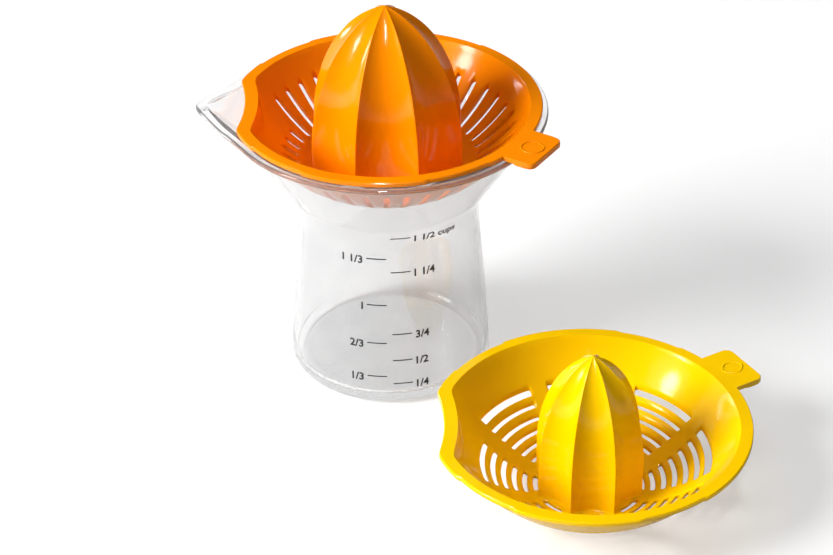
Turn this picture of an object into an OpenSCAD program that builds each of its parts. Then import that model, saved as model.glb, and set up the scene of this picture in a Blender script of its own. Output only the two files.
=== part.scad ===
// Two-in-one citrus juicer. A clear measuring jug takes either of two one-piece
// strainer-reamers in its flared mouth: the large one sits on the rim, and the small
// one stands on the table beside the jug. Millimetres, +Z up, the origin at the centre
// of the jug's underside, the spout towards -X.

/* [Jug] */
// Height from the table to the rim
jug_h = 116.5; // [106:0.5:128]
// Outer radius of the straight body, carried down to the table
base_r = 42; // [38:0.5:46]
// Inward lean of the body towards the neck, in degrees
body_taper = 4.2; // [2:0.1:6]
// Outward lean of the flared mouth, in degrees
flare_angle = 33; // [28:0.5:37]
// Outer radius of the flare at the rim
mouth_r = 62.4; // [58:0.2:67]
// Radius that blends the body into the flare
neck_fillet = 26; // [15:1:32]
// Radius of the rounded edge round the floor, inside and out
base_round = 4.5; // [3:0.5:7]
// Thickness of the wall
jug_wall = 2.2; // [1.8:0.1:3]
// Thickness of the floor
floor_t = 3; // [2:0.1:5]
// How far the lip stands out from the flare
lip_reach = 1.9; // [1:0.1:3]
// Height of the lip
lip_h = 2.2; // [1.6:0.1:3]

/* [Spout] */
// How far the tip reaches out beyond the mouth
spout_reach = 11.5; // [6:0.5:16]
// Half of the angle that the spout takes up in the rim, in degrees
spout_spread = 30; // [25:0.5:36]
// How far below the rim the spout starts to leave the flare
spout_drop = 26; // [18:0.5:30]
// How far the tip rises above the rim
spout_lift = 2; // [0.5:0.1:4]
// Bluntness of the tip, as a share of the spread
spout_blunt = 0.09; // [0.05:0.01:0.2]

/* [Strainer dishes] */
// How far a flange reaches over the rim that it rests on
rim_seat = 2.2; // [1.4:0.1:3]
// Thickness of the flange
flange_t = 2; // [1.6:0.1:3]
// Gap all round between a dish and the mouth of the jug
dish_clearance = 1.8; // [1:0.1:3]
// Height of the centre of the dish's curve above the flange
dish_rise = 30; // [25:0.5:36]
// Thickness of the dish
dish_wall = 1.8; // [1.4:0.1:2.4]
// Depth of the pouring notch in the flange
notch_depth = 5.6; // [4:0.1:7]
// Radius of the pouring notch
notch_r = 80; // [60:1:110]
// Width of flange that is left between the notch and the dish
notch_land = 5.5; // [4:0.1:7]
// Depth of the shallow reliefs in the flange's edge
relief_depth = 0.7; // [0.4:0.1:1.2]
// Length of each relief, in degrees
relief_span = 25; // [15:1:35]

/* [Lifting tabs] */
// Width of a tab
tab_w = 23; // [16:0.5:30]
// How far a tab reaches out from the flange
tab_reach = 12; // [8:0.5:18]
// Thickness of a tab outside the jug's lip
tab_t = 2.6; // [2.4:0.1:4]
// Radius of a tab's corners
tab_round = 3; // [1:0.5:6]
// Direction of the large reamer's tab, in degrees from +X
large_tab_angle = -33; // [-60:1:60]
// Direction of the small reamer's tab, in degrees from +X
small_tab_angle = 30; // [-20:1:80]

/* [Cones] */
// Number of sharp ridges round a cone
ridges = 8; // [6:1:10]
// Radius in the middle of a flute, as a share of the radius at the ridges
flute_ratio = 0.8; // [0.74:0.01:0.85]
// How far below the flange the ridges turn upright
shoulder_depth = 15.5; // [12:0.5:20]
// Pointedness of a cone's tip: 0 is round
cone_point = 0.3; // [0.1:0.05:0.6]
// Thickness of a cone
cone_wall = 1.9; // [1.4:0.1:2.6]
// Radius of the large cone at its ridges
large_cone_r = 32.6; // [29:0.2:33.4]
// Height of the large cone's tip above the flange
large_cone_h = 43; // [34:0.2:56]
// Depth of the large dish's floor below the flange
large_floor = 25; // [24.5:0.1:26.5]
// Radius of the small cone at its ridges
small_cone_r = 22; // [18:0.2:23]
// Height of the small cone's tip above the flange
small_cone_h = 30.3; // [24:0.1:40]
// Depth of the small dish's floor below the flange
small_floor = 30; // [28:0.1:31]

/* [Strainer slots] */
// Number of radial slots in the large dish
radial_slots = 40; // [16:8:40]
// Width of a radial slot
radial_slot_w = 2.4; // [1.4:0.1:2.8]
// Gap from the large cone to the radial slots
radial_slot_gap = 2.9; // [1:0.1:4]
// Length of a radial slot
radial_slot_len = 16; // [10:0.1:16.5]
// Length of the radial slots beside the notch
radial_slot_short = 6.5; // [5:0.1:8]
// Rows of arc-shaped slots in the small dish
arc_rows = 7; // [4:1:7]
// Distance from one row to the next
arc_pitch = 4.15; // [3.8:0.05:4.4]
// From the small cone's ridges to the middle of the first row; below 0 it lies in the flutes
arc_gap = -1.15; // [-1.4:0.05:0.5]
// Width of the arc-shaped slots
arc_slot_w = 1.9; // [1.4:0.1:2.6]
// Width of the outermost row
arc_outer_w = 2.7; // [1.6:0.1:3.2]
// Width of the spokes between the arc-shaped slots
spoke_w = 7.2; // [5:0.1:9]

/* [Set-down place] */
// Direction of the small reamer from the jug, in degrees from +X
set_down_angle = -51; // [-80:0.1:-10]
// Gap between its flange and the jug's lip, seen from above; below 0 it is under the flare
set_down_gap = -3.3; // [-6:0.1:40]

/* [Hidden] */
$fn = 120;

// Overrun of a cutting shape past the face that it cuts
over = 3;
// Steps of a rounded corner, of the neck's curve and of the lip's edge
corner_steps = 8;
neck_steps = 12;
lip_steps = 6;

// Radii at the rim: inside of the mouth, outside of the lip, edge of a flange
mouth_in = mouth_r - jug_wall / cos(flare_angle);
lip_r = mouth_r + lip_reach;
flange_r = mouth_in + rim_seat;

// Ball that shapes the outside of a dish, and the one that shapes its inside
dish_outer = norm([mouth_in - dish_clearance, dish_rise + flange_t]);
dish_inner = dish_outer - dish_wall;

// Pouring notch: distance of its centre from the axis, and half of its angle
notch_x = flange_r - notch_depth + notch_r;
notch_angle = acos((notch_x * notch_x + flange_r * flange_r - notch_r * notch_r)
                   / (2 * notch_x * flange_r));

// Where the small reamer stands
set_down_distance = lip_r + flange_r + set_down_gap;

// Straight body and straight flare: outer radius at a height, less an inset
function body_r(z, inset) = base_r - inset / cos(body_taper) - z * tan(body_taper);
function flare_r(z, inset) = mouth_r - inset / cos(flare_angle) - (jug_h - z) * tan(flare_angle);

// Centre of the neck's curve: as far from the body's line as from the flare's
neck_z = (base_r - mouth_r + jug_h * tan(flare_angle)
          + neck_fillet * (1 / cos(body_taper) - 1 / cos(flare_angle)))
         / (tan(body_taper) + tan(flare_angle));
neck_centre = [body_r(neck_z, -neck_fillet), neck_z];

// Points of an arc about a centre, from one angle to another
function arc(centre, r, from, to, steps) = [
    for (i = [0:steps]) let (a = from + (to - from) * i / steps) centre + r * [cos(a), sin(a)]
];

// Rounded edge of the floor at height z, and the neck's curve, both at an inset
function floor_arc(z, inset) =
    arc([body_r(z + base_round, inset + base_round), z + base_round],
        base_round, -90, body_taper, corner_steps);
function neck_arc(inset) =
    arc(neck_centre, neck_fillet + inset, 180 + body_taper, 180 - flare_angle, neck_steps);

// A list of points the other way round
function reversed(points) = [for (i = [len(points) - 1:-1:0]) points[i]];

// Solid skinned over a list of rings, each with the same number of points. A closed one
// joins its last ring to its first, and an open one has a flat cap at either end.
module skin(rings, closed = false) {
    n = len(rings[0]);
    m = len(rings);
    sides = [
        for (j = [0:m - (closed ? 1 : 2)], i = [0:n - 1])
            let (k = (i + 1) % n, a = j * n, b = (j + 1) % m * n)
                each [[a + i, b + i, a + k], [a + k, b + i, b + k]]
    ];
    caps = closed ? [] : [[for (i = [0:n - 1]) i], [for (i = [n - 1:-1:0]) (m - 1) * n + i]];
    polyhedron([for (ring = rings) each ring], concat(sides, caps), convexity = 10);
}

// The spout swells out of the flare above spout_foot. Its swell is 1 at the tip and 0 at
// the edges, and the lift of its rim dies away inside the notch, so that a flange still
// lies flat. Turns are counted from the tip.
spout_foot = jug_h - spout_drop;
spout_rise_power = 1.4;
spout_side_power = 1.9;
lift_margin = 1.5;
lift_spread = notch_angle - lift_margin;
// Half of the angle of the spout's hollow, which leaves its sides a wall
hollow_spread = spout_spread - jug_wall * 180 / PI / mouth_r;
function spout_swell(turn, spread) =
    let (u = abs(turn) / spread, e = spout_blunt)
        pow(max(0, 1 - (norm([u, e]) - e) / (norm([1, e]) - e)), spout_side_power);
function rim_lift(turn) = spout_lift * pow(max(0, 1 - pow(turn / lift_spread, 2)), 2);

// Point of the mouth's wall at a share v of the height from spout_foot to the rim
function mouth_point(turn, v, inset, spread) =
    let (z = spout_foot + spout_drop * v, grow = pow(max(0, v), spout_rise_power))
        [flare_r(z, inset) + spout_reach * spout_swell(turn, spread) * grow,
         z + rim_lift(turn) * grow];

// Section of the mouth's wall, up its outside, round the lip and down its inside. Its
// lower end is a tongue, thinner by the seam on either face, set into the wall below.
mouth_rows = 8;
seam = 0.15;
tongue = 2;
tongue_v = -tongue / spout_drop;
function mouth_section(turn) =
    let (top = mouth_point(turn, 1, 0, spout_spread),
         lip_v = 1 - lip_h / spout_drop)
        concat(
            [for (v = [tongue_v, 0]) mouth_point(turn, v, seam, spout_spread)],
            [for (i = [1:mouth_rows]) mouth_point(turn, lip_v * i / mouth_rows, 0, spout_spread)],
            arc(top + [lip_reach - lip_h / 2, -lip_h / 2], lip_h / 2, -90, 90, lip_steps),
            [for (i = [mouth_rows:-1:1]) mouth_point(turn, i / mouth_rows, jug_wall, hollow_spread)],
            [for (v = [0, tongue_v]) mouth_point(turn, v, jug_wall - seam, hollow_spread)]
        );

// Turns of the sections: close together in the spout, further apart round the rest
spout_steps = 36;
rim_steps = 50;
mouth_turns = concat(
    [for (i = [0:spout_steps - 1]) spout_spread * (1 - 2 * i / spout_steps)],
    [for (i = [0:rim_steps - 1]) -spout_spread - 2 * (180 - spout_spread) * i / rim_steps]
);

// Jug: a turned body and flare, with the mouth and its spout set on them
module jug() {
    color([0.86, 0.92, 0.95, 0.4]) {
        rotate_extrude() polygon(concat(
            [[0, 0]], floor_arc(0, 0), neck_arc(0),
            [[flare_r(spout_foot, 0), spout_foot], [flare_r(spout_foot, jug_wall), spout_foot]],
            reversed(neck_arc(jug_wall)), reversed(floor_arc(floor_t, jug_wall)), [[0, floor_t]]
        ));
        skin([
            for (turn = mouth_turns)
                [for (p = mouth_section(turn)) [-p[0] * cos(turn), -p[0] * sin(turn), p[1]]]
        ], closed = true);
    }
}

// Outline of a cone across its axis: sharp ridges with an arc of a circle hollowed out
// between each two. The radius is 1 at a ridge and flute_ratio in the middle of a flute.
flute_half = 180 / ridges;
flute_centre = (1 - flute_ratio * flute_ratio) / (2 * (cos(flute_half) - flute_ratio));
flute_radius = flute_centre - flute_ratio;
function fluted(a) =
    let (turn = (a + flute_half) % (2 * flute_half) - flute_half)
        flute_centre * cos(turn)
        - sqrt(pow(flute_radius, 2) - pow(flute_centre * sin(turn), 2));

// Rings of a fluted cone: upright from a foot to its shoulder, then closing like a pointed
// arch. The last ring, just short of the point, is the blunt end of the tip.
points_per_flute = 8;
cone_steps = 17;
blunt_share = 0.99;
tip_turn = blunt_share * acos(cone_point / (1 + cone_point));
function cone_ring(r, z) =
    let (n = ridges * points_per_flute)
        [for (i = [0:n - 1]) let (a = 360 * i / n) [each (r * fluted(a) * [cos(a), sin(a)]), z]];
function cone_rings(r, tip_z, foot_z) = concat(
    [cone_ring(r, foot_z)],
    [for (i = [0:cone_steps])
        let (turn = tip_turn * i / cone_steps)
            cone_ring(r * ((1 + cone_point) * cos(turn) - cone_point),
                      -shoulder_depth + (tip_z + shoulder_depth) * sin(turn) / sin(tip_turn))]
);

// Ball of a dish in section, cut off flat at a floor and at a top
module dish_section(ball, floor_z, top_z) {
    intersection() {
        translate([0, dish_rise]) circle(ball);
        translate([0, floor_z]) square([ball, top_z - floor_z]);
    }
}

// Upright cylinder about the centre of the pouring notch
module notch_post(r, low, high) {
    translate([-notch_x, 0, low]) cylinder(r = r, h = high - low);
}

// Tab with rounded outer corners, thicker outside the lip of the jug
module tab() {
    end = flange_r + tab_reach;
    root = flange_r - rim_seat;
    step = lip_r + dish_clearance;
    corner = [end - tab_round, tab_w / 2 - tab_round];
    outline = concat(
        [[root, -tab_w / 2]],
        arc([corner[0], -corner[1]], tab_round, -90, 0, corner_steps),
        arc(corner, tab_round, 0, 90, corner_steps),
        [[root, tab_w / 2]]
    );
    translate([0, 0, -flange_t]) linear_extrude(flange_t) polygon(outline);
    translate([0, 0, -tab_t]) linear_extrude(tab_t) intersection() {
        polygon(outline);
        translate([step, -tab_w]) square([end, 2 * tab_w]);
    }
}

// Directions of the reliefs in a flange's edge, to either side of +X
relief_angles = [63, 134];

// Strainer dish with its flange, notch and tab, its top at z = 0. The slots are the
// children, cut through the dish before the cone is set in.
module dish(floor_depth, tab_angle) {
    underside = -floor_depth - dish_wall;
    difference() {
        union() {
            rotate_extrude() union() {
                dish_section(dish_outer, underside, -flange_t / 2);
                translate([0, -flange_t]) square([flange_r, flange_t]);
            }
            rotate(tab_angle) tab();
        }
        difference() {
            rotate_extrude() dish_section(dish_inner, -floor_depth, over);
            notch_post(notch_r + notch_land, underside, 2 * over);
        }
        notch_post(notch_r + notch_land - dish_wall, underside - over, -flange_t);
        notch_post(notch_r, underside - over, over);
        for (side = [-1, 1], at = relief_angles)
            rotate(side * at - relief_span / 2)
                translate([0, 0, -flange_t - over])
                    rotate_extrude(angle = relief_span)
                        translate([flange_r - relief_depth, 0])
                            square([relief_depth + over, flange_t + 2 * over]);
        children();
    }
}

// Thickness at the tip of a cone, as a multiple of its wall
tip_wall_ratio = 1.6;

// Reamer: the dish with a hollow fluted cone standing in it
module reamer(cone_r, cone_h, floor_depth, tab_angle) {
    difference() {
        union() {
            dish(floor_depth, tab_angle) children();
            skin(cone_rings(cone_r, cone_h, -floor_depth - dish_wall / 2));
        }
        skin(cone_rings(cone_r - cone_wall, cone_h - tip_wall_ratio * cone_wall,
                        -floor_depth - dish_wall - over));
    }
}

// Rounded slots that point at the axis, in the steep part of the large dish. Those that
// end at the wall behind the notch are short.
module radial_slot_cuts() {
    start = large_cone_r + radial_slot_gap;
    for (i = [0:radial_slots - 1]) {
        a = 360 * i / radial_slots;
        reach = abs(a - 180) < notch_angle ? radial_slot_short : radial_slot_len;
        tip = radial_slot_w / 2;
        rotate(a) translate([start, 0, -large_floor - dish_wall - over])
            linear_extrude(large_floor + dish_wall)
                polygon(concat(
                    arc([tip, 0], tip, 90, 270, corner_steps),
                    arc([reach - tip, 0], tip, -90, 90, corner_steps)
                ));
    }
}

// Arc-shaped slots in rows round the small cone, with spokes in line with its ridges. The
// outermost row stops at the spokes on either side of the notch.
module arc_slot_cuts() {
    low = -small_floor - dish_wall - over;
    difference() {
        for (i = [0:arc_rows - 1]) {
            outer = i == arc_rows - 1;
            r = small_cone_r + arc_gap + i * arc_pitch;
            w = outer ? arc_outer_w : arc_slot_w;
            left_out = outer ? flute_half : 0;
            translate([0, 0, low]) rotate(180 + left_out)
                rotate_extrude(angle = 360 - 2 * left_out)
                    translate([r - w / 2, 0]) square([w, small_floor]);
        }
        for (i = [0:ridges - 1])
            rotate(flute_half + 360 * i / ridges)
                translate([0, -spoke_w / 2, low - over])
                    cube([flange_r, spoke_w, small_floor + 2 * over]);
    }
}

module large_reamer() {
    color([1, 0.5, 0.02])
        translate([0, 0, jug_h + flange_t])
            reamer(large_cone_r, large_cone_h, large_floor, large_tab_angle)
                radial_slot_cuts();
}

module small_reamer() {
    color([1, 0.8, 0.05])
        translate(set_down_distance * [cos(set_down_angle), sin(set_down_angle), 0])
            translate([0, 0, small_floor + dish_wall])
                reamer(small_cone_r, small_cone_h, small_floor, small_tab_angle)
                    arc_slot_cuts();
}

jug();
large_reamer();
small_reamer();
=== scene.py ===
"""A two-in-one citrus juicer: a clear measuring jug with a large reamer in its mouth and a
small reamer standing beside it. Sizes are in millimetres and meshes in metres."""

from math import radians

import bpy
import numpy as np
from mathutils import Matrix, Vector


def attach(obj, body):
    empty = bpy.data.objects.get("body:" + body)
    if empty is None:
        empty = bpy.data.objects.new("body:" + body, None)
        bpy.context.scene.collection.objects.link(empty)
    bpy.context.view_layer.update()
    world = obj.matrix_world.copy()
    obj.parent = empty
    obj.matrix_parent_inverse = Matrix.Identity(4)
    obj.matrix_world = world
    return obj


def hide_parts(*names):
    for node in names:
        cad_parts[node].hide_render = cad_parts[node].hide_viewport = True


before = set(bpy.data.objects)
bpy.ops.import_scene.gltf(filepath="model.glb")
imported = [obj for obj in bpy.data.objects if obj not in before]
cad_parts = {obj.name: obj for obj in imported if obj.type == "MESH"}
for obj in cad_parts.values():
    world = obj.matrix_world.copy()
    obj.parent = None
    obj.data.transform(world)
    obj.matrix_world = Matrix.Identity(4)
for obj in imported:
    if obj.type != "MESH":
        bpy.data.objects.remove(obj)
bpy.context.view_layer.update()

# The jug's wall
# A clear moulded plastic measuring jug. A straight body leans in to a neck, a flared mouth
# ends in a half-round lip, and a spout is drawn out of the flare. It is one moulding.
MM = 0.001
JUG_H = 116.5
BASE_R = 42.0
BODY_TAPER = 4.2
FLARE_ANGLE = 33.0
MOUTH_R = 62.4
NECK_FILLET = 26.0
BASE_ROUND = 4.5
JUG_WALL = 2.2
FLOOR_T = 3.0
LIP_REACH = 1.9
LIP_H = 2.2
SPOUT_REACH = 11.5
SPOUT_SPREAD = 30.0
SPOUT_DROP = 26.0
SPOUT_LIFT = 2.0
SPOUT_BLUNT = 0.09
SPOUT_SIDE_POWER = 1.9
SPOUT_RISE_POWER = 1.4
LIFT_SPREAD = 16.9
JUG_COLUMNS = 320
COLUMN_CROWDING = 1.35
FLOOR_STEPS = 6
CORNER_STEPS = 10
BODY_STEPS = 12
NECK_STEPS = 18
FLARE_STEPS = 26
LIP_STEPS = 12
RIM_STEPS = 3
POLE_R = 0.6
SMOOTH_ANGLE = 40
NOISE_LOW = 0.3
NOISE_HIGH = 0.7


def cosd(a):
    """Cosine of an angle in degrees."""
    return np.cos(np.radians(a))


def sind(a):
    """Sine of an angle in degrees."""
    return np.sin(np.radians(a))


def tand(a):
    """Tangent of an angle in degrees."""
    return np.tan(np.radians(a))


def straight(start, end, steps):
    """Points from start towards end, evenly spaced, without the end itself."""
    share = np.linspace(0, 1, steps, endpoint=False)[:, None]
    return np.asarray(start) + share * (np.asarray(end) - np.asarray(start))


def arc(centre, radius, start, end, steps):
    """Points round a centre at one radius, from a start angle to an end angle, both kept."""
    a = np.linspace(start, end, steps)
    return np.asarray(centre) + radius * np.stack([cosd(a), sind(a)], axis=1)


def body_r(z, inset):
    """Radius of the straight body at height z, less an inset square to its wall."""
    return BASE_R - inset / cosd(BODY_TAPER) - z * tand(BODY_TAPER)


def flare_r(z, inset):
    """Radius of the straight flare at height z, less an inset square to its wall."""
    return MOUTH_R - inset / cosd(FLARE_ANGLE) - (JUG_H - z) * tand(FLARE_ANGLE)


def jug_side(floor_z, inset, top_z):
    """Section of one face of the jug, from the floor's round edge to the top of the flare:
    an arc, a line, the neck's arc about a shared centre, and a line."""
    edge = arc((body_r(floor_z + BASE_ROUND, inset + BASE_ROUND), floor_z + BASE_ROUND),
               BASE_ROUND, -90, BODY_TAPER, CORNER_STEPS)
    neck_z = (BASE_R - MOUTH_R + JUG_H * tand(FLARE_ANGLE)
              + NECK_FILLET * (1 / cosd(BODY_TAPER) - 1 / cosd(FLARE_ANGLE)))
    neck_z = neck_z / (tand(BODY_TAPER) + tand(FLARE_ANGLE))
    neck = arc((body_r(neck_z, -NECK_FILLET), neck_z), NECK_FILLET + inset,
               180 + BODY_TAPER, 180 - FLARE_ANGLE, NECK_STEPS)
    top = (flare_r(top_z, inset), top_z)
    return np.concatenate([edge[:-1], straight(edge[-1], neck[0], BODY_STEPS), neck[:-1],
                           straight(neck[-1], top, FLARE_STEPS), [top]])


def spout_swell(turn, spread):
    """Share of the spout's reach at a turn from its tip: 1 at the tip, where it is blunted,
    falling along an S to 0 at the spread."""
    fall = np.hypot(np.abs(turn) / spread, SPOUT_BLUNT) - SPOUT_BLUNT
    fall = fall / (np.hypot(1, SPOUT_BLUNT) - SPOUT_BLUNT)
    return np.maximum(0, 1 - fall) ** SPOUT_SIDE_POWER


def grid_quads(rows, columns):
    """Corner numbers of the quads of a grid whose columns close on themselves. The rows run
    inwards or upwards and the columns anticlockwise, so that the quads face out."""
    i, j = np.meshgrid(np.arange(rows - 1), np.arange(columns), indexing="ij")
    k = (j + 1) % columns
    return np.stack([i * columns + j, i * columns + k, (i + 1) * columns + k,
                     (i + 1) * columns + j], axis=-1).reshape(-1, 4)


def fan(ring, pole):
    """Triangles that close a ring of points on one pole."""
    return np.stack([ring, np.roll(ring, -1), np.full(len(ring), pole)], axis=1)


def make_piece(name, points, faces):
    """A mesh object at the origin from points in millimetres and groups of faces, smooth but
    for sharp edges."""
    mesh = bpy.data.meshes.new(name)
    lists = [corners for group in faces for corners in np.asarray(group).tolist()]
    mesh.from_pydata((np.asarray(points) * MM).tolist(), [], lists)
    mesh.polygons.foreach_set("use_smooth", np.ones(len(mesh.polygons), bool))
    mesh.set_sharp_from_angle(angle=radians(SMOOTH_ANGLE))
    piece = bpy.data.objects.new(name, mesh)
    bpy.context.scene.collection.objects.link(piece)
    return piece


outer_side = jug_side(0, 0, JUG_H - LIP_H)
lip = arc((MOUTH_R + LIP_REACH - LIP_H / 2, JUG_H - LIP_H / 2), LIP_H / 2, -90, 90, LIP_STEPS)
inner_side = jug_side(FLOOR_T, JUG_WALL, JUG_H)[::-1]
jug_section = np.concatenate([
    straight((POLE_R, 0), outer_side[0], FLOOR_STEPS), outer_side, lip,
    straight(lip[-1], inner_side[0], RIM_STEPS)[1:], inner_side,
    straight(inner_side[-1], (POLE_R, FLOOR_T), FLOOR_STEPS)[1:], [(POLE_R, FLOOR_T)],
])
jug_rows = len(jug_section)
lip_start = FLOOR_STEPS + len(outer_side)
lip_end = lip_start + len(lip) + RIM_STEPS - 1
row = np.arange(jug_rows)
inside = row >= lip_end
on_lip = (row >= lip_start) & (row < lip_end)
rise = np.clip((jug_section[:, 1] - JUG_H + SPOUT_DROP) / SPOUT_DROP, 0, 1)
rise = np.where(on_lip, 1, rise) ** SPOUT_RISE_POWER

spread_steps = np.linspace(-1, 1, JUG_COLUMNS, endpoint=False)
jug_turn = 180 * np.sign(spread_steps) * np.abs(spread_steps) ** COLUMN_CROWDING
hollow_spread = SPOUT_SPREAD - np.degrees(JUG_WALL / MOUTH_R)
swell = np.where(inside[:, None], spout_swell(jug_turn, hollow_spread),
                 spout_swell(jug_turn, SPOUT_SPREAD))
lift = SPOUT_LIFT * np.maximum(0, 1 - (jug_turn / LIFT_SPREAD) ** 2) ** 2
jug_r = jug_section[:, :1] + SPOUT_REACH * swell * rise[:, None]
jug_z = jug_section[:, 1:] + lift * rise[:, None]
jug_points = np.stack([-jug_r * cosd(jug_turn), -jug_r * sind(jug_turn), jug_z], axis=-1)
jug_points = np.concatenate([jug_points.reshape(-1, 3), [[0, 0, 0], [0, 0, FLOOR_T]]])
jug_last = jug_rows * JUG_COLUMNS
jug = make_piece("jug_wall", jug_points, [
    grid_quads(jug_rows, JUG_COLUMNS),
    fan(np.arange(JUG_COLUMNS)[::-1], jug_last),
    fan(np.arange(jug_last - JUG_COLUMNS, jug_last), jug_last + 1),
])


def node_material(name):
    """An empty node material, with its tree, its shader and its texture coordinates."""
    material = bpy.data.materials.new(name)
    material.use_nodes = True
    tree = material.node_tree
    shader = tree.nodes["Principled BSDF"]
    place = tree.nodes.new("ShaderNodeTexCoord")
    return material, tree, shader, place


def noise(tree, place, scale, detail):
    """A noise texture on object coordinates, with its size in features per metre."""
    texture = tree.nodes.new("ShaderNodeTexNoise")
    texture.inputs["Scale"].default_value = scale
    texture.inputs["Detail"].default_value = detail
    tree.links.new(place.outputs["Object"], texture.inputs["Vector"])
    return texture.outputs["Fac"]


def spread_value(tree, value, low, high):
    """A texture's value stretched onto a range of its own."""
    ramp = tree.nodes.new("ShaderNodeMapRange")
    ramp.inputs["From Min"].default_value = NOISE_LOW
    ramp.inputs["From Max"].default_value = NOISE_HIGH
    ramp.inputs["To Min"].default_value = low
    ramp.inputs["To Max"].default_value = high
    tree.links.new(value, ramp.inputs["Value"])
    return ramp.outputs["Result"]


def blended(tree, value, low, high):
    """A colour between two, chosen by a texture's value."""
    blend = tree.nodes.new("ShaderNodeMix")
    blend.data_type = "RGBA"
    blend.inputs["A"].default_value = (*low, 1)
    blend.inputs["B"].default_value = (*high, 1)
    tree.links.new(spread_value(tree, value, 0, 1), blend.inputs["Factor"])
    return blend.outputs["Result"]


def relief(tree, shader, height, strength, depth):
    """A bump of a texture's height on a shader."""
    bump = tree.nodes.new("ShaderNodeBump")
    bump.inputs["Strength"].default_value = strength
    bump.inputs["Distance"].default_value = depth
    tree.links.new(height, bump.inputs["Height"])
    tree.links.new(bump.outputs["Normal"], shader.inputs["Normal"])


clear, tree, shader, place = node_material("clear_plastic")
clouds = blended(tree, noise(tree, place, 70, 3), (0.87, 0.87, 0.875), (0.91, 0.91, 0.91))
tree.links.new(clouds, shader.inputs["Base Color"])
shader.inputs["Transmission Weight"].default_value = 0.93
shader.inputs["IOR"].default_value = 1.5
shader.inputs["Roughness"].default_value = 0.0
relief(tree, shader, noise(tree, place, 35, 1), 0.02, 0.0003)
jug.data.materials.append(clear)
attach(jug, "jug")
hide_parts("jug")

# The measuring scale
# Black marks and numbers printed on the outside of the jug's wall, in two columns on the
# side that faces the user. The ink lies on the wall as a skin.
INK_LIFT = 0.08
INK_BOLD = 0.12
TICK_LEN = 8.0
TICK_W = 0.5
TICK_POINTS = 9
LETTER_STEPS = 4
NUMBER_SIZE = 4.7
NUMBER_GAP = 1.6
NUMBER_DROP = 0.7
LEFT_COLUMN = -97.4
RIGHT_COLUMN = -82.6
LEFT_MARKS = {"1/3": 14.1, "2/3": 29.7, "1": 47.3, "1 1/3": 68.3}
RIGHT_MARKS = {"1/4": 10.7, "1/2": 21.6, "3/4": 33.8, "1 1/4": 62.2, "1 1/2 cups": 78.8}


def on_wall(across, z, column):
    """Points a distance across the wall from a column's angle, at height z, lying on it."""
    r = np.interp(z, outer_side[:, 1], outer_side[:, 0]) + INK_LIFT
    a = column + np.degrees(across / r)
    return np.stack([r * cosd(a), r * sind(a), z], axis=-1)


def flat_number(text):
    """Flat points and faces of a number set in the plain built-in letters, in millimetres."""
    curve = bpy.data.curves.new(text, "FONT")
    curve.body = text
    curve.size = NUMBER_SIZE
    curve.resolution_u = LETTER_STEPS
    curve.offset = INK_BOLD
    holder = bpy.data.objects.new(text, curve)
    mesh = bpy.data.meshes.new_from_object(holder)
    co = np.zeros(len(mesh.vertices) * 3)
    mesh.vertices.foreach_get("co", co)
    faces = [list(p.vertices) for p in mesh.polygons]
    bpy.data.objects.remove(holder)
    bpy.data.curves.remove(curve)
    bpy.data.meshes.remove(mesh)
    return co.reshape(-1, 3)[:, :2], faces


ink_points = []
ink_faces = []
ink_count = 0
tick_across = np.linspace(-TICK_LEN / 2, TICK_LEN / 2, TICK_POINTS)
tick_low = np.arange(TICK_POINTS - 1)
tick_high = tick_low + TICK_POINTS
tick_quads = np.stack([tick_low, tick_low + 1, tick_high + 1, tick_high], axis=1)
for column, side, marks in ((LEFT_COLUMN, -1, LEFT_MARKS), (RIGHT_COLUMN, 1, RIGHT_MARKS)):
    for text, z in marks.items():
        tick = np.concatenate([on_wall(tick_across, z - TICK_W / 2 + 0 * tick_across, column),
                               on_wall(tick_across, z + TICK_W / 2 + 0 * tick_across, column)])
        flat, faces = flat_number(text)
        if side > 0:
            shift = TICK_LEN / 2 + NUMBER_GAP - flat[:, 0].min()
        else:
            shift = -TICK_LEN / 2 - NUMBER_GAP - flat[:, 0].max()
        middle = flat[flat[:, 1] > 0, 1].max() / 2
        number = on_wall(flat[:, 0] + shift, z + flat[:, 1] - middle - NUMBER_DROP, column)
        ink_faces += (tick_quads + ink_count).tolist()
        ink_faces += [[v + ink_count + len(tick) for v in face] for face in faces]
        ink_points += [tick, number]
        ink_count += len(tick) + len(number)
scale_print = make_piece("measuring_scale", np.concatenate(ink_points),
                         [[face] for face in ink_faces])

ink, tree, shader, place = node_material("black_ink")
shades = blended(tree, noise(tree, place, 400, 2), (0.008, 0.008, 0.009), (0.018, 0.018, 0.019))
tree.links.new(shades, shader.inputs["Base Color"])
tree.links.new(spread_value(tree, noise(tree, place, 900, 2), 0.45, 0.65), shader.inputs["Roughness"])
scale_print.data.materials.append(ink)
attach(scale_print, "jug")

# The reamers
# Each reamer is one moulding: a flange that rests on the jug's rim, a lifting tab, a round
# strainer dish with a pouring notch, and a hollow fluted cone that stands in the dish.
FLANGE_T = 2.0
RIM_SEAT = 2.2
DISH_CLEARANCE = 1.8
DISH_RISE = 30.0
DISH_WALL = 1.8
NOTCH_DEPTH = 5.6
NOTCH_R = 80.0
NOTCH_LAND = 5.5
RELIEF_DEPTH = 0.7
RELIEF_SPAN = 25.0
RELIEF_EASE = 0.5
RELIEF_ANGLES = (63, -63, 134, -134)
NOTCH_HALF = 60
NOTCH_EASE = 1.2
DISH_EASE = 2.0
DRAWN_FULL = 6.0
DRAWN_LEAST = 0.001
DRAWN_STEEP = 8.0
DRAWN_EASE = 4.0
FLOOR_EASE = 0.8
RIM_EASE = 1.6
TAB_W = 23.0
TAB_REACH = 12.0
TAB_T = 2.6
TAB_ROUND = 3.0
TAB_HALF = 15
TAB_STEP = 0.8
TAB_KNOTS = (-18, -14, -9, -5, 0, 5, 9, 14, 18)
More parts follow.
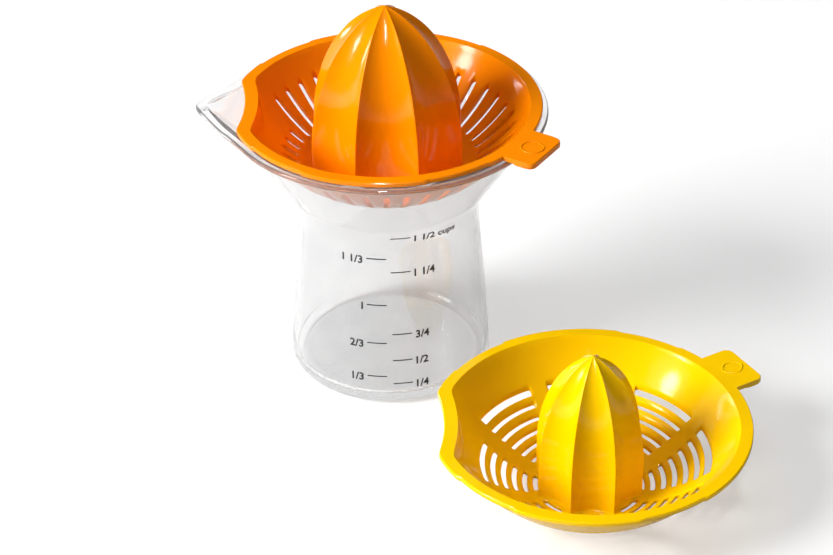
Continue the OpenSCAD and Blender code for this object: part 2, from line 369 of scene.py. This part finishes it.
TAB_TURNS = (-18, -10.95, -9.3, -6.3, 0, 6.3, 9.3, 10.95, 18)
RIDGES = 8
FLUTE_RATIO = 0.8
SHOULDER = 15.5
CONE_POINT = 0.3
TIP_WALL_RATIO = 1.6
CONE_WALL = 1.9
EDGE = 0.35
FOOT_FILLET = 0.8
RIDGE_ROUND = 0.04
RIM_OFFSETS = (2.2, 1.4, 0.9, 0.5, 0.2, -0.1, -0.4, -0.8, -1.3, -2.0)
FLANGE_ROWS = 6
WALL_ROWS = 9
FLOOR_ROWS = 7
FILLET_ROWS = 6
CONE_ROWS = 40
CONE_END = 0.993
LIP_ROWS = 6
BEAD_R = 0.3
BEAD_SIDES = 10
RING_SHIFT = -1.0

mouth_in = MOUTH_R - JUG_WALL / cosd(FLARE_ANGLE)
flange_r = mouth_in + RIM_SEAT
ball_out = np.hypot(mouth_in - DISH_CLEARANCE, DISH_RISE + FLANGE_T)
ball_in = ball_out - DISH_WALL
notch_x = flange_r - NOTCH_DEPTH + NOTCH_R


def smooth_min(a, b, width):
    """The smaller of two values, rounded off over a width where they cross."""
    share = np.clip(0.5 + 0.5 * (b - a) / width, 0, 1)
    return b + (a - b) * share - width * share * (1 - share)


def wrapped(a):
    """An angle brought between -180 and 180 degrees."""
    return (a + 180) % 360 - 180


def notch_radius(a, post):
    """Distance from the axis, at angle a, of an upright post about the notch's centre; far
    away where the direction misses the post."""
    turn = wrapped(a - 180)
    square = post ** 2 - (notch_x * sind(turn)) ** 2
    near = notch_x * cosd(turn) - np.sqrt(np.maximum(square, 0))
    return np.where((square > 0) & (np.abs(turn) < NOTCH_HALF), near, 2 * flange_r)


def flange_edge(a, tab_angle):
    """Radius of the flange's outline: a circle, cut back a little along four reliefs, hollowed
    by the notch's circle, and pushed out to a rounded rectangle at the tab."""
    away = np.min([np.abs(wrapped(a - c)) for c in RELIEF_ANGLES], axis=0)
    cut = RELIEF_DEPTH * np.clip((RELIEF_SPAN / 2 - away) / RELIEF_EASE + 0.5, 0, 1)
    edge = smooth_min(flange_r - cut, notch_radius(a, NOTCH_R), NOTCH_EASE)
    turn = np.minimum(np.abs(wrapped(a - tab_angle)), 2 * TAB_HALF)
    end = flange_r + TAB_REACH
    box = np.minimum(end / cosd(turn), TAB_W / 2 / np.maximum(sind(turn), 1e-6))
    corner = np.array([end - TAB_ROUND, TAB_W / 2 - TAB_ROUND])
    along = corner[0] * cosd(turn) + corner[1] * sind(turn)
    square = TAB_ROUND ** 2 - (corner @ corner - along ** 2)
    in_corner = (box * cosd(turn) > corner[0]) & (box * sind(turn) > corner[1])
    box = np.where(in_corner, along + np.sqrt(np.maximum(square, 0)), box)
    return np.maximum(edge, np.where(turn < TAB_HALF, box, 0))


def dish_edge(a, ball, depth, post):
    """Radius at which the dish's ball crosses a depth under the flange, drawn in at the notch."""
    full = np.sqrt(ball ** 2 - (DISH_RISE + depth) ** 2)
    return smooth_min(full, notch_radius(a, post), DISH_EASE)


def dish_z(r, a, ball, depth, post, floor):
    """Height of a face of the dish below the flange's top: level outside the dish's edge, a
    steep wall where the notch draws the edge in, the ball inside it, and a level floor."""
    edge = dish_edge(a, ball, depth, post)
    full = np.sqrt(ball ** 2 - (DISH_RISE + depth) ** 2)
    drawn = np.clip((full - edge) / DRAWN_FULL, DRAWN_LEAST, 1)
    down = np.sqrt(np.maximum(ball ** 2 - r ** 2, 1)) - DISH_RISE
    down = smooth_min(down, (edge - r) * DRAWN_STEEP + depth, DRAWN_EASE * drawn)
    down = smooth_min(down, floor, FLOOR_EASE)
    return smooth_min(-depth, -down, RIM_EASE)


def fluted(a):
    """Radius of a cone's outline as a share of its ridges': an arc of a circle hollowed out
    between each two ridges, with the ridges slightly rounded."""
    half = 180 / RIDGES
    centre = (1 - FLUTE_RATIO ** 2) / (2 * (cosd(half) - FLUTE_RATIO))
    bow = centre - FLUTE_RATIO
    turn = np.abs((a + half) % (2 * half) - half)

    def hollow(t):
        """Radius of a flute's arc at a turn from its middle; far out where it ends."""
        square = bow ** 2 - (centre * sind(t)) ** 2
        return np.where(square > 0, centre * cosd(t) - np.sqrt(np.maximum(square, 0)), 2)

    return smooth_min(hollow(turn), hollow(2 * half - turn), RIDGE_ROUND)


def spaced(start, end, count):
    """Shares from start to end for a column of rows, both ends kept."""
    return np.linspace(start, end, count)[:, None]


def mix(a, b, share):
    """A value a share of the way from a to b."""
    return a + (b - a) * share


def tab_columns(a, tab_angle):
    """Column angles drawn together where the tab's corners and sides need them."""
    turn = wrapped(a - tab_angle)
    near = np.abs(turn) < TAB_KNOTS[-1]
    return np.where(near, tab_angle + np.interp(turn, TAB_KNOTS, TAB_TURNS), a)


def reamer_mesh(name, centre, cone_r, cone_h, floor, tab_angle, slots):
    """One reamer as a closed shell on a grid of rings and spokes. Rows run from the flange's
    edge in to the dish, over its floor and up the cone to the tip. slots gives the angles and
    radii of the rows among the slots, and the quads to leave out."""
    slot_a, slot_r, slot_open, flange_a, cone_a = slots
    count = slot_a.shape[1]
    rim_a = tab_columns(flange_a, tab_angle)

    # Flange, from its edge to the start of the slots
    edge = flange_edge(rim_a, tab_angle)
    rim_in = dish_edge(rim_a, ball_in, 0, NOTCH_R + NOTCH_LAND)
    rim_under = dish_edge(rim_a, ball_out, FLANGE_T, NOTCH_R + NOTCH_LAND - DISH_WALL)
    near = np.array(RIM_OFFSETS)[:, None]
    shares = np.concatenate([[0, 0], np.linspace(0.2, 1, FLANGE_ROWS)])[:, None]
    flange_rows = mix(edge, rim_in + near[0], shares)
    flange_rows[1] = edge - EDGE
    corner_rows = rim_in + near[1:]
    wall_share = spaced(0, 1, WALL_ROWS)[1:-1]
    wall_rows = mix(corner_rows[-1], slot_r[0], wall_share)
    upper_r = np.concatenate([flange_rows, corner_rows, wall_rows])
    upper_a = np.concatenate([np.broadcast_to(rim_a, flange_rows.shape),
                              np.broadcast_to(rim_a, corner_rows.shape),
                              mix(rim_a, rim_a + wrapped(slot_a[0] - rim_a), wall_share)])
    lag = np.concatenate([np.ones(len(flange_rows) + len(corner_rows)), 1 - wall_share[:, 0]])
    under_r = upper_r + (rim_under - rim_in) * lag[:, None]
    under_r[:len(flange_rows)] = mix(edge, rim_under + near[0], shares)
    under_r[1] = edge - EDGE

    # Floor, from the slots to the foot of the cone, and round its fillet
    foot = cone_r * fluted(cone_a)
    floor_share = spaced(0, 1, FLOOR_ROWS)[1:]
    floor_r = mix(slot_r[-1], foot + FOOT_FILLET, floor_share)
    floor_a = slot_a[-1] + wrapped(cone_a - slot_a[-1]) * floor_share

    dish_r = np.concatenate([upper_r, slot_r, floor_r])
    dish_a = np.concatenate([upper_a, slot_a, floor_a])
    low_r = np.concatenate([under_r, slot_r, floor_r])
    top_z = dish_z(dish_r, dish_a, ball_in, 0, NOTCH_R + NOTCH_LAND, floor)
    low_z = dish_z(low_r, dish_a, ball_out, FLANGE_T, NOTCH_R + NOTCH_LAND - DISH_WALL,
                   floor + DISH_WALL)
    step = np.clip((low_r - MOUTH_R - LIP_REACH - DISH_CLEARANCE) / TAB_STEP, 0, 1)
    low_z = low_z - (TAB_T - FLANGE_T) * step
    top_z[0] -= EDGE
    low_z[0] += EDGE

    # Cone, from its fillet to the tip, outside and in the hollow
    bend = spaced(0, 90, FILLET_ROWS)[1:]
    tip_turn = np.degrees(np.arccos(CONE_POINT / (1 + CONE_POINT)))
    turn = tip_turn * np.concatenate([np.zeros((1, 1)), spaced(0, CONE_END, CONE_ROWS)])
    closing = (1 + CONE_POINT) * cosd(turn) - CONE_POINT
    rising = sind(turn) / sind(tip_turn)
    hollow_h = cone_h - TIP_WALL_RATIO * CONE_WALL
    fillet_r = foot + FOOT_FILLET * (1 - sind(bend))
    fillet_z = -floor + FOOT_FILLET * (1 - cosd(bend)) + 0 * foot
    cone_top_r = foot * closing
    cone_top_z = -SHOULDER + (cone_h + SHOULDER) * rising + 0 * foot
    cone_top_z[0] = mix(-floor + FOOT_FILLET, -SHOULDER, 0.5)
    hollow = (cone_r - CONE_WALL) * fluted(cone_a)
    under_floor = -floor - DISH_WALL
    lip_r = mix(floor_r[-1], hollow + EDGE, spaced(0, 1, LIP_ROWS)[1:])
    hollow_r = hollow * closing
    hollow_z = -SHOULDER + (hollow_h + SHOULDER) * rising + 0 * foot
    hollow_z[0] = under_floor + EDGE

    all_a = np.concatenate([dish_a, np.broadcast_to(cone_a, fillet_r.shape),
                            np.broadcast_to(cone_a, cone_top_r.shape)])
    top_r = np.concatenate([dish_r, fillet_r, cone_top_r])
    top_z = np.concatenate([top_z, fillet_z, cone_top_z])
    low_r = np.concatenate([low_r, lip_r, hollow_r])
    low_z = np.concatenate([low_z, np.full(lip_r.shape, under_floor), hollow_z])
    rows = len(all_a)

    # Quads that are left out for the slots, and the edges round them
    kept = np.ones((rows - 1, count), bool)
    first = len(upper_r)
    kept[first:first + len(slot_r) - 1] = ~slot_open
    outside = np.zeros((1, count), bool)
    above = np.concatenate([outside, kept[:-1]])
    below = np.concatenate([kept[1:], ~outside])
    number = np.arange(rows * count).reshape(rows, count)
    start, end = number[:-1], number[1:]
    start_next, end_next = np.roll(start, -1, 1), np.roll(end, -1, 1)
    before, after = np.roll(kept, 1, 1), np.roll(kept, -1, 1)
    sides = [(start, start_next, above), (start_next, end_next, after),
             (end_next, end, below), (end, start, before)]
    low = rows * count
    walls = [np.stack([v, u, u + low, v + low], axis=-1)[kept & ~beyond] for u, v, beyond in sides]
    bound = np.zeros(rows * count, bool)
    for u, v, beyond in sides:
        bound[u[kept & ~beyond]] = True
        bound[v[kept & ~beyond]] = True
    bound[:count] = False
    drop = np.where(bound.reshape(rows, count), EDGE, 0)
    top_z = top_z - drop
    low_z = low_z + drop

    quads = grid_quads(rows, count)[kept.reshape(-1)]
    top = np.stack([top_r * cosd(all_a), top_r * sind(all_a), top_z], axis=-1).reshape(-1, 3)
    under = np.stack([low_r * cosd(all_a), low_r * sind(all_a), low_z], axis=-1).reshape(-1, 3)
    poles = [[0, 0, cone_h], [0, 0, hollow_h]]
    points = np.concatenate([top, under, poles]) + np.asarray(centre)
    last = number[-1]
    return make_piece(name, points, [
        quads, quads[:, ::-1] + low, *walls,
        fan(last, 2 * low), fan(last[::-1] + low, 2 * low + 1),
    ])


def raised_ring(name, outline, centre, tab_angle):
    """A half-sunk bead along a closed outline on a tab's top. The outline is given about the
    tab's middle, its first direction pointing away from the axis."""
    ahead = np.roll(outline, -1, 0) - np.roll(outline, 1, 0)
    ahead = ahead / np.linalg.norm(ahead, axis=1)[:, None]
    out = np.stack([ahead[:, 1], -ahead[:, 0]], axis=1)
    round_turn = np.arange(0, 360, 360 / BEAD_SIDES)[:, None]
    across = outline + BEAD_R * cosd(round_turn)[:, :, None] * out
    up = BEAD_R * sind(round_turn) + 0 * outline[:, 0]
    x = across[:, :, 0] + flange_r + TAB_REACH / 2 + RING_SHIFT
    y = across[:, :, 1]
    points = np.stack([x * cosd(tab_angle) - y * sind(tab_angle),
                       x * sind(tab_angle) + y * cosd(tab_angle), up], axis=-1) + np.asarray(centre)
    count = len(outline)
    number = np.arange(BEAD_SIDES * count).reshape(BEAD_SIDES, count)
    quads = np.stack([number, np.roll(number, -1, 1), np.roll(np.roll(number, -1, 0), -1, 1),
                      np.roll(number, -1, 0)], axis=-1).reshape(-1, 4)
    return make_piece(name, points.reshape(-1, 3), [quads])


def plastic(name, colour, shade):
    """Glossy opaque plastic: a slight cloudiness of colour and gloss, and a faint waviness."""
    material, tree, shader, place = node_material(name)
    clouds = blended(tree, noise(tree, place, 60, 4), shade, colour)
    tree.links.new(clouds, shader.inputs["Base Color"])
    gloss = spread_value(tree, noise(tree, place, 220, 3), 0.1, 0.16)
    tree.links.new(gloss, shader.inputs["Roughness"])
    shader.inputs["Specular IOR Level"].default_value = 0.3
    relief(tree, shader, noise(tree, place, 1500, 2), 0.04, 0.0002)
    return material


# The large reamer
# Orange plastic, for oranges. Its dish has radial slots with rounded ends, shorter where the
# notch draws the dish in. It rests on the rim of the jug by its flange.
LARGE_CONE_R = 32.6
LARGE_CONE_H = 43.0
LARGE_FLOOR = 25.0
LARGE_TAB = -33.0
RADIAL_SLOTS = 40
RADIAL_W = 2.4
RADIAL_START = LARGE_CONE_R + 2.9
RADIAL_END = RADIAL_START + 16.0
RADIAL_SHORT_END = RADIAL_START + 6.5
SHORT_TURN = 20.4
LONG_TURN = 24.6
SLOT_LINES = 7
SLOT_STEPS = 9
SLOT_MARGIN = 0.15
LARGE_RING_R = 4.4
LEAF_TURN = 60
LEAF_DEPTH = 0.12
LEAF_SPAN = 16


def radial_slots():
    """Rows and columns among radial slots. In each sector some columns follow the slot, spaced
    so that its two ends are half circles, with one beside either edge and two between."""
    half = RADIAL_W / 2
    bow = half * -cosd(np.linspace(0, 180, SLOT_LINES))
    across = np.concatenate([[-half - EDGE], bow, [half + EDGE]])
    sector = 360 / RADIAL_SLOTS
    centres = np.arange(RADIAL_SLOTS) * sector
    round_end = np.sqrt(np.maximum(half ** 2 - np.clip(across, -half, half) ** 2, 0))
    per = len(across) + 3
    end = np.concatenate([np.zeros(2), round_end, np.zeros(1)])
    spread = np.tile(end, RADIAL_SLOTS)
    base = np.repeat(centres, per) + np.tile(
        np.linspace(-0.5, 0.5, per, endpoint=False) * sector, RADIAL_SLOTS)
    turn = np.abs(wrapped(base - 180))
    ease = np.clip((turn - SHORT_TURN) / (LONG_TURN - SHORT_TURN), 0, 1)
    reach = mix(RADIAL_SHORT_END, RADIAL_END, ease * ease * (3 - 2 * ease))
    outer = reach - half + spread
    inner = RADIAL_START + half - spread
    share = spaced(0, 1, SLOT_STEPS + 1)
    radii = np.concatenate([[reach + EDGE + SLOT_MARGIN], mix(outer, inner, share),
                            [np.full(len(base), RADIAL_START - EDGE - SLOT_MARGIN)]])
    angle = np.degrees(np.arcsin(across / radii.reshape(len(radii), RADIAL_SLOTS, per)[:, :, 2:-1]))
    edge = np.full(angle.shape[:2] + (1,), -sector / 2)
    before = (edge + angle[:, :, :1]) / 2
    after = -before
    columns = np.concatenate([edge, before, angle, after], axis=2) + centres[None, :, None]
    columns = columns.reshape(len(radii), -1)
    open_columns = np.tile(np.arange(per), RADIAL_SLOTS)
    is_open = (open_columns >= 3) & (open_columns < SLOT_LINES + 2)
    gaps = np.zeros((len(radii) - 1, len(base)), bool)
    gaps[1:-1] = is_open
    return columns, radii, gaps, base, base


rim_top = JUG_H + FLANGE_T
large_slots = radial_slots()
large_reamer = reamer_mesh("large_reamer_shell", (0, 0, rim_top), LARGE_CONE_R, LARGE_CONE_H,
                           LARGE_FLOOR, LARGE_TAB, large_slots)
orange = plastic("orange_plastic", (0.92, 0.25, 0.0), (0.88, 0.23, 0.0))
large_reamer.data.materials.append(orange)
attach(large_reamer, "large_reamer")
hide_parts("large_reamer")

ring_turn = np.arange(0, 360, 5)
ring_way = np.stack([cosd(ring_turn), sind(ring_turn)], axis=1)
dent = LEAF_DEPTH * np.exp(-(wrapped(ring_turn - LEAF_TURN) / LEAF_SPAN) ** 2)
orange_outline = LARGE_RING_R * (1 - dent)[:, None] * ring_way
large_ring = raised_ring("large_tab_ring", orange_outline, (0, 0, rim_top), LARGE_TAB)
large_ring.data.materials.append(orange)
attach(large_ring, "large_reamer")

# The small reamer
# Yellow plastic, for lemons and limes. Rows of arc-shaped slots run round its dish between
# straight spokes in line with the ridges. It stands on the flat ring under its cone.
SMALL_CONE_R = 22.0
SMALL_CONE_H = 30.3
SMALL_FLOOR = 30.0
SMALL_TAB = 30.0
ARC_ROWS = 7
ARC_PITCH = 4.15
ARC_GAP = -1.15
ROW_STEP = 0.08
ARC_W = 1.9
ARC_OUTER_W = 2.7
NOTCH_SECTOR = 4
SPOKE_W = 7.2
ARC_END_ROUND = 0.8
SPOKE_COLUMNS = 3
ARC_COLUMNS = 24
ARC_NEAR_END = (0, 0.12, 0.35, ARC_END_ROUND)
SET_DOWN_ANGLE = -51.0
SET_DOWN_GAP = -3.3
SMALL_RING_R = 3.6
LEMON_POINT = 0.2
LEMON_SHARPNESS = 8


def arc_slots():
    """Rows and columns among arc-shaped slots. Columns follow the edges of the spokes, close
    together at the slots' ends, whose corners are rounded off. The outermost row, the first
    here, has no slot beside the notch. The innermost lies in the flutes, and its lines bend
    out round the ridges' feet."""
    middle = SMALL_CONE_R + ARC_GAP + ARC_PITCH * np.arange(ARC_ROWS)[::-1]
    width = np.where(np.arange(ARC_ROWS) == 0, ARC_OUTER_W, ARC_W)
    offsets = np.array([0.5, 0.5, 0, -0.5, -0.5])
    beyond = np.array([EDGE, 0, 0, 0, -EDGE])
    row_r = (middle[:, None] + width[:, None] * offsets + beyond).reshape(-1)
    near = np.array(ARC_NEAR_END)
    half = 180 / RIDGES
    span = np.radians(half) * row_r - SPOKE_W / 2
    inner = np.linspace(-1, 1, ARC_COLUMNS + 2)[1:-1]
    ends = near[None, :] / span[:, None]
    left = np.concatenate([-1 + ends, inner * (1 - ends[:, -1:]), 1 - ends[:, ::-1]], axis=1)
    limit = half - np.degrees(np.arcsin(SPOKE_W / 2 / row_r))[:, None]
    slot_angle = left * limit
    side = np.degrees(EDGE / row_r)[:, None]
    spoke = np.linspace(0, 1, SPOKE_COLUMNS + 1)[None, :]
    before = -half + (half - limit - side) * spoke
    columns = np.concatenate([before, slot_angle, -before[:, :0:-1]], axis=1)
    per = columns.shape[1]
    sharp = np.clip(1 - near / ARC_END_ROUND, 0, 1)
    pull = ARC_END_ROUND * (1 - np.sqrt(1 - sharp ** 2))
    bend = np.concatenate([np.zeros(SPOKE_COLUMNS + 1), pull, np.zeros(ARC_COLUMNS), pull[::-1],
                           np.zeros(SPOKE_COLUMNS)])
    sign = np.tile([0, -1, 0, 1, 0], ARC_ROWS)
    radii = np.tile(row_r[:, None] + sign[:, None] * bend, (1, RIDGES))
    centres = np.arange(RIDGES) * 2 * half
    angles = (columns[:, None, :] + centres[None, :, None]).reshape(len(row_r), -1)
    order = np.arange(len(row_r), 0, -1)[:, None]
    radii = np.maximum(radii, SMALL_CONE_R * fluted(angles) + FOOT_FILLET + ROW_STEP * order)
    index = np.arange(per)
    is_open = np.tile((index > SPOKE_COLUMNS) & (index < per - SPOKE_COLUMNS - 1), RIDGES)
    gaps = np.zeros((len(row_r) - 1, per * RIDGES), bool)
    lines = len(offsets)
    for line in (1, 2):
        gaps[line::lines] = is_open
    gaps[:lines - 1, NOTCH_SECTOR * per:(NOTCH_SECTOR + 1) * per] = False
    share = np.linspace(-1, 1, per, endpoint=False)
    base = (centres[:, None] + half * share).reshape(-1)
    return angles, radii, gaps, base, base


small_slots = arc_slots()
set_down = MOUTH_R + LIP_REACH + flange_r + SET_DOWN_GAP
small_centre = (set_down * cosd(SET_DOWN_ANGLE), set_down * sind(SET_DOWN_ANGLE),
                SMALL_FLOOR + DISH_WALL)
small_reamer = reamer_mesh("small_reamer_shell", small_centre, SMALL_CONE_R, SMALL_CONE_H,
                           SMALL_FLOOR, SMALL_TAB, small_slots)
yellow = plastic("yellow_plastic", (0.95, 0.575, 0.0), (0.91, 0.545, 0.0))
small_reamer.data.materials.append(yellow)
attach(small_reamer, "small_reamer")
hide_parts("small_reamer")

lemon_r = SMALL_RING_R * (1 + LEMON_POINT * np.abs(cosd(ring_turn)) ** LEMON_SHARPNESS)
lemon_outline = lemon_r[:, None] * ring_way
small_ring = raised_ring("small_tab_ring", lemon_outline, small_centre, SMALL_TAB)
small_ring.data.materials.append(yellow)
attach(small_ring, "small_reamer")

# The table and the light
# A plain white table under a pale sky. The table takes the shadows, and glows a little where
# it is seen directly or through clear plastic, to stand out white. The sky that clear plastic
# shows is darker in front, as in a room with one bright wall.
TABLE_HALF = 3.0
TABLE_GLOW = 0.43
TABLE_IN_GLOSS = 0.05
SKY_LIGHT = 0.22
SKY_IN_GLOSS = 0.02
SKY_IN_FRONT = 0.2
LAMP_AIM = (0.03, -0.03, 0.08)


def brightness(tree, lighting, kinds):
    """A strength that differs by how a surface or the sky is met: first the one for light that
    falls on the object, then pairs of a kind of ray and its strength, which override it."""
    path = tree.nodes.new("ShaderNodeLightPath")
    start = tree.nodes.new("ShaderNodeValue")
    start.outputs["Value"].default_value = lighting
    strength = start.outputs["Value"]
    for kind, amount in kinds:
        choice = tree.nodes.new("ShaderNodeMix")
        tree.links.new(path.outputs[kind], choice.inputs["Factor"])
        tree.links.new(strength, choice.inputs["A"])
        if isinstance(amount, float):
            choice.inputs["B"].default_value = amount
        else:
            tree.links.new(amount, choice.inputs["B"])
        strength = choice.outputs["Result"]
    return strength


table_mesh = bpy.data.meshes.new("table")
table_mesh.from_pydata([(-TABLE_HALF, -TABLE_HALF, 0), (TABLE_HALF, -TABLE_HALF, 0),
                        (TABLE_HALF, TABLE_HALF, 0), (-TABLE_HALF, TABLE_HALF, 0)],
                       [], [(0, 1, 2, 3)])
table = bpy.data.objects.new("table", table_mesh)
bpy.context.scene.collection.objects.link(table)
white, tree, shader, place = node_material("white_table")
shader.inputs["Base Color"].default_value = (0.6, 0.6, 0.6, 1)
shader.inputs["Roughness"].default_value = 0.9
shader.inputs["Specular IOR Level"].default_value = 0.1
shader.inputs["Emission Color"].default_value = (1, 1, 1, 1)
glow = brightness(tree, 0.0, [("Is Glossy Ray", TABLE_IN_GLOSS), ("Is Transmission Ray", TABLE_GLOW),
                              ("Is Singular Ray", TABLE_GLOW), ("Is Camera Ray", TABLE_GLOW)])
tree.links.new(glow, shader.inputs["Emission Strength"])
table.data.materials.append(white)

scene = bpy.context.scene
scene.view_settings.view_transform = "Standard"
world = bpy.data.worlds.new("studio")
scene.world = world
world.use_nodes = True
tree = world.node_tree
sky = tree.nodes["Background"]
sky.inputs["Color"].default_value = (1, 1, 1, 1)
way = tree.nodes.new("ShaderNodeTexCoord")
axes = tree.nodes.new("ShaderNodeSeparateXYZ")
tree.links.new(way.outputs["Generated"], axes.inputs["Vector"])
room = tree.nodes.new("ShaderNodeMapRange")
room.inputs["From Min"].default_value = -0.5
room.inputs["From Max"].default_value = 0.4
room.inputs["To Min"].default_value = SKY_IN_FRONT
room.inputs["To Max"].default_value = 1.0
tree.links.new(axes.outputs["Y"], room.inputs["Value"])
seen = room.outputs["Result"]
glow = brightness(tree, SKY_LIGHT, [("Is Glossy Ray", SKY_IN_GLOSS), ("Is Transmission Ray", seen),
                                    ("Is Singular Ray", seen), ("Is Camera Ray", 1.0)])
tree.links.new(glow, sky.inputs["Strength"])


def softbox(name, place, width, height, power, in_gloss):
    """A lamp at a place, turned to face the object, that either lights it or shows in gloss."""
    lamp = bpy.data.lights.new(name, "AREA")
    lamp.shape = "ELLIPSE"
    lamp.size = width
    lamp.size_y = height
    lamp.energy = power
    holder = bpy.data.objects.new(name, lamp)
    holder.location = place
    holder.rotation_euler = (Vector(LAMP_AIM) - Vector(place)).to_track_quat("-Z", "Y").to_euler()
    holder.visible_glossy = in_gloss
    holder.visible_diffuse = not in_gloss
    scene.collection.objects.link(holder)


softbox("key_light", (-1.62, -0.6, 1.11), 1.17, 1.17, 69, False)
softbox("top_light", (0.1, 0.1, 1.8), 1.2, 1.2, 6, False)
softbox("key_shine", (-1.633, -0.507, 1.085), 0.4, 0.5, 14, True)
softbox("front_shine", (-0.06, -0.6, 1.26), 0.08, 0.6, 10, True)
softbox("back_shine", (-1.23, 0.86, 0.15), 0.5, 0.15, 2.5, True)

# The camera
# At the photograph's place: in front, well above, with a long lens.
CAMERA_PLACE = (0.0111, -0.8321, 0.5862)
CAMERA_PITCH = 0.585
CAMERA_ROLL = -0.011
FOCAL_PIXELS = 2400
IMAGE_W = 833
SENSOR = 36.0
lens = bpy.data.cameras.new("camera")
lens.sensor_width = SENSOR
lens.lens = FOCAL_PIXELS * SENSOR / IMAGE_W
camera = bpy.data.objects.new("camera", lens)
camera.matrix_world = (Matrix.Translation(CAMERA_PLACE)
                       @ Matrix.Rotation(radians(90) - CAMERA_PITCH, 4, "X")
                       @ Matrix.Rotation(CAMERA_ROLL, 4, "Z"))
scene.collection.objects.link(camera)
scene.camera = camera
